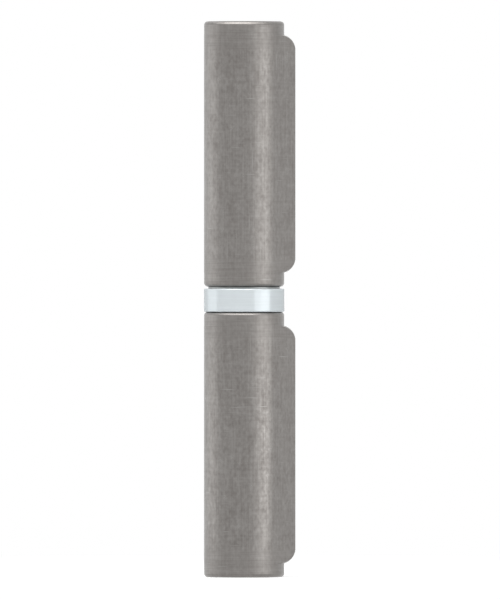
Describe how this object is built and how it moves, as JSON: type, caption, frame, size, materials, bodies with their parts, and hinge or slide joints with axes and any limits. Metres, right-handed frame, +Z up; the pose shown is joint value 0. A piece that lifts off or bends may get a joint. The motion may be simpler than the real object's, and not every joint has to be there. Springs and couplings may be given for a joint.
{
  "type": "weld-on gate hinge",
  "caption": "Lift-off weld-on gate hinge: drop-shaped steel leaves on one pin, with a capped thrust ball bearing between them.",
  "frame": {"origin": "on the pin's axis, at the outer end face of the lower leaf", "axes": "+Z up the pin, from the fixed leaf to the gate's leaf; +X from the axis to the weld noses, the right of the picture; the picture looks along +Y"},
  "size_m": [0.0296, 0.026, 0.18],
  "materials": {
    "drawn_steel": "raw drawn steel, dull, with fine lengthwise streaks",
    "pin_steel": "ground, lightly oiled",
    "zinc_plate": "turned steel, bright zinc plated",
    "race_steel": "hardened and ground",
    "ball_steel": "polished bearing steel",
    "cage_brass": "stamped sheet brass"
  },
  "bodies": {
    "fixed_leaf": {"lower_leaf": "drawn_steel", "hinge_pin": "pin_steel", "bearing_cup": "zinc_plate", "lower_race": "race_steel"},
    "turning_race": {"upper_race": "race_steel"},
    "swinging_leaf": {"upper_leaf": "drawn_steel"},
    "cage": {"ball_cage": "cage_brass"},
    "ball_01": {"ball_01": "ball_steel"},
    "ball_02": {"ball_02": "ball_steel"},
    "ball_03": {"ball_03": "ball_steel"},
    "ball_04": {"ball_04": "ball_steel"},
    "ball_05": {"ball_05": "ball_steel"},
    "ball_06": {"ball_06": "ball_steel"},
    "ball_07": {"ball_07": "ball_steel"},
    "ball_08": {"ball_08": "ball_steel"},
    "ball_09": {"ball_09": "ball_steel"},
    "ball_10": {"ball_10": "ball_steel"},
    "ball_11": {"ball_11": "ball_steel"},
    "ball_12": {"ball_12": "ball_steel"},
    "ball_13": {"ball_13": "ball_steel"},
    "ball_14": {"ball_14": "ball_steel"}
  },
  "joints": [
    {"name": "leaf_swing", "type": "hinge", "parent": "fixed_leaf", "child": "turning_race", "pos_m": [0, 0, 0.0941], "axis": [0, 0, 1], "continuous": true},
    {"name": "lift_off", "type": "slide", "parent": "turning_race", "child": "swinging_leaf", "axis": [0, 0, 1], "range_m": [0, 0.05]},
    {"name": "cage_spin", "type": "hinge", "parent": "fixed_leaf", "child": "cage", "pos_m": [0, 0, 0.09045], "axis": [0, 0, 1], "continuous": true},
    {"name": "ball_01_roll", "type": "hinge", "parent": "cage", "child": "ball_01", "pos_m": [0.00935, 0, 0.09045], "axis": [1, 0, 0], "continuous": true},
    {"name": "ball_02_roll", "type": "hinge", "parent": "cage", "child": "ball_02", "pos_m": [0.00842, 0.00406, 0.09045], "axis": [0.901, 0.4339, 0], "continuous": true},
    {"name": "ball_03_roll", "type": "hinge", "parent": "cage", "child": "ball_03", "pos_m": [0.00583, 0.00731, 0.09045], "axis": [0.6235, 0.7818, 0], "continuous": true},
    {"name": "ball_04_roll", "type": "hinge", "parent": "cage", "child": "ball_04", "pos_m": [0.00208, 0.00912, 0.09045], "axis": [0.2225, 0.9749, 0], "continuous": true},
    {"name": "ball_05_roll", "type": "hinge", "parent": "cage", "child": "ball_05", "pos_m": [-0.00208, 0.00912, 0.09045], "axis": [-0.2225, 0.9749, 0], "continuous": true},
    {"name": "ball_06_roll", "type": "hinge", "parent": "cage", "child": "ball_06", "pos_m": [-0.00583, 0.00731, 0.09045], "axis": [-0.6235, 0.7818, 0], "continuous": true},
    {"name": "ball_07_roll", "type": "hinge", "parent": "cage", "child": "ball_07", "pos_m": [-0.00842, 0.00406, 0.09045], "axis": [-0.901, 0.4339, 0], "continuous": true},
    {"name": "ball_08_roll", "type": "hinge", "parent": "cage", "child": "ball_08", "pos_m": [-0.00935, 0, 0.09045], "axis": [-1, 0, 0], "continuous": true},
    {"name": "ball_09_roll", "type": "hinge", "parent": "cage", "child": "ball_09", "pos_m": [-0.00842, -0.00406, 0.09045], "axis": [-0.901, -0.4339, 0], "continuous": true},
    {"name": "ball_10_roll", "type": "hinge", "parent": "cage", "child": "ball_10", "pos_m": [-0.00583, -0.00731, 0.09045], "axis": [-0.6235, -0.7818, 0], "continuous": true},
    {"name": "ball_11_roll", "type": "hinge", "parent": "cage", "child": "ball_11", "pos_m": [-0.00208, -0.00912, 0.09045], "axis": [-0.2225, -0.9749, 0], "continuous": true},
    {"name": "ball_12_roll", "type": "hinge", "parent": "cage", "child": "ball_12", "pos_m": [0.00208, -0.00912, 0.09045], "axis": [0.2225, -0.9749, 0], "continuous": true},
    {"name": "ball_13_roll", "type": "hinge", "parent": "cage", "child": "ball_13", "pos_m": [0.00583, -0.00731, 0.09045], "axis": [0.6235, -0.7818, 0], "continuous": true},
    {"name": "ball_14_roll", "type": "hinge", "parent": "cage", "child": "ball_14", "pos_m": [0.00842, -0.00406, 0.09045], "axis": [0.901, -0.4339, 0], "continuous": true}
  ],
  "couplings": [
    {"joint": "cage_spin", "follows": "leaf_swing", "ratio": 0.5},
    {"joint": "ball_01_roll", "follows": "leaf_swing", "ratio": -3.1167},
    {"joint": "ball_02_roll", "follows": "leaf_swing", "ratio": -3.1167},
    {"joint": "ball_03_roll", "follows": "leaf_swing", "ratio": -3.1167},
    {"joint": "ball_04_roll", "follows": "leaf_swing", "ratio": -3.1167},
    {"joint": "ball_05_roll", "follows": "leaf_swing", "ratio": -3.1167},
    {"joint": "ball_06_roll", "follows": "leaf_swing", "ratio": -3.1167},
    {"joint": "ball_07_roll", "follows": "leaf_swing", "ratio": -3.1167},
    {"joint": "ball_08_roll", "follows": "leaf_swing", "ratio": -3.1167},
    {"joint": "ball_09_roll", "follows": "leaf_swing", "ratio": -3.1167},
    {"joint": "ball_10_roll", "follows": "leaf_swing", "ratio": -3.1167},
    {"joint": "ball_11_roll", "follows": "leaf_swing", "ratio": -3.1167},
    {"joint": "ball_12_roll", "follows": "leaf_swing", "ratio": -3.1167},
    {"joint": "ball_13_roll", "follows": "leaf_swing", "ratio": -3.1167},
    {"joint": "ball_14_roll", "follows": "leaf_swing", "ratio": -3.1167}
  ]
}
